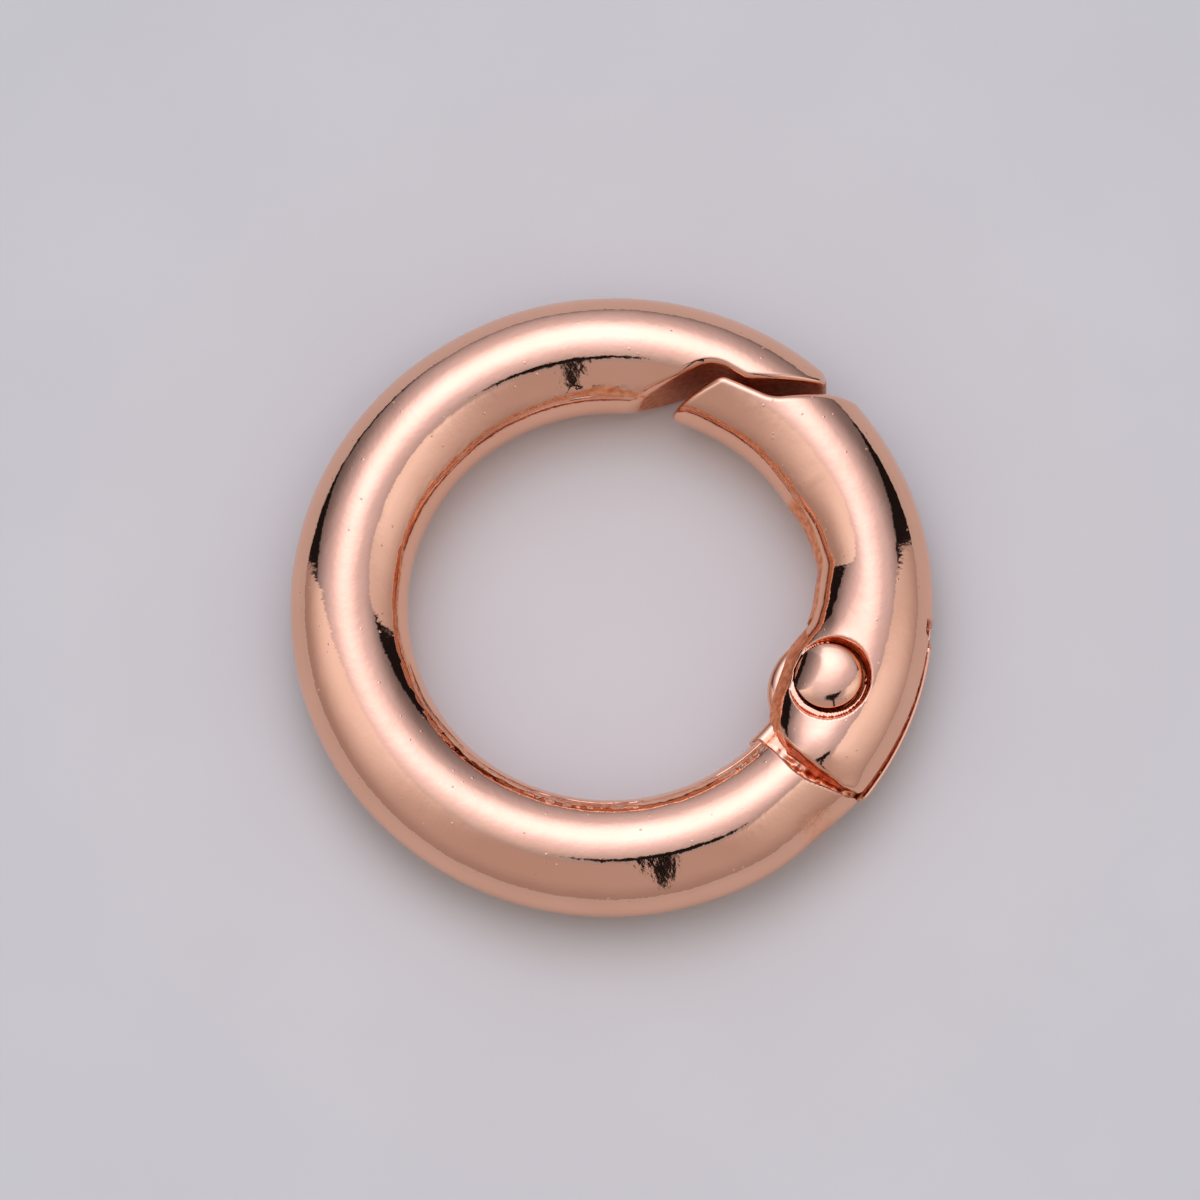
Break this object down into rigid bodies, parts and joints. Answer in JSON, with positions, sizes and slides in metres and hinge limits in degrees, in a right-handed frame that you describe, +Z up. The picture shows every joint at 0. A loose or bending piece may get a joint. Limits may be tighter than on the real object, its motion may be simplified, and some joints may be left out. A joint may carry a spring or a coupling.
{
  "type": "spring gate ring",
  "caption": "Round push-gate ring for jewellery and bags: an oval-section ring with a sprung gate that folds inward on a riveted hinge to let a strap or link in.",
  "frame": {"origin": "on the surface that the ring lies on, under the ring's centre", "axes": "+Z up through the ring's opening, +X towards the gate's middle, +Y towards the gate's nose"},
  "size_m": [0.025, 0.025, 0.004],
  "materials": {
    "rose_gold_plating": "mirror-polished rose gold plating",
    "spring_steel": "drawn spring wire"
  },
  "bodies": {
    "ring": {"ring_body": "rose_gold_plating", "pivot_pin": "rose_gold_plating", "torsion_spring": "spring_steel"},
    "gate": {"gate": "rose_gold_plating"}
  },
  "joints": [
    {"name": "gate_pivot", "type": "hinge", "parent": "ring", "child": "gate", "pos_m": [0.00844, -0.00339, 0.002], "axis": [0, 0, 1], "range_deg": [0, 35], "stiffness_Nm_per_rad": 0.02, "springref_deg": -34.38}
  ]
}
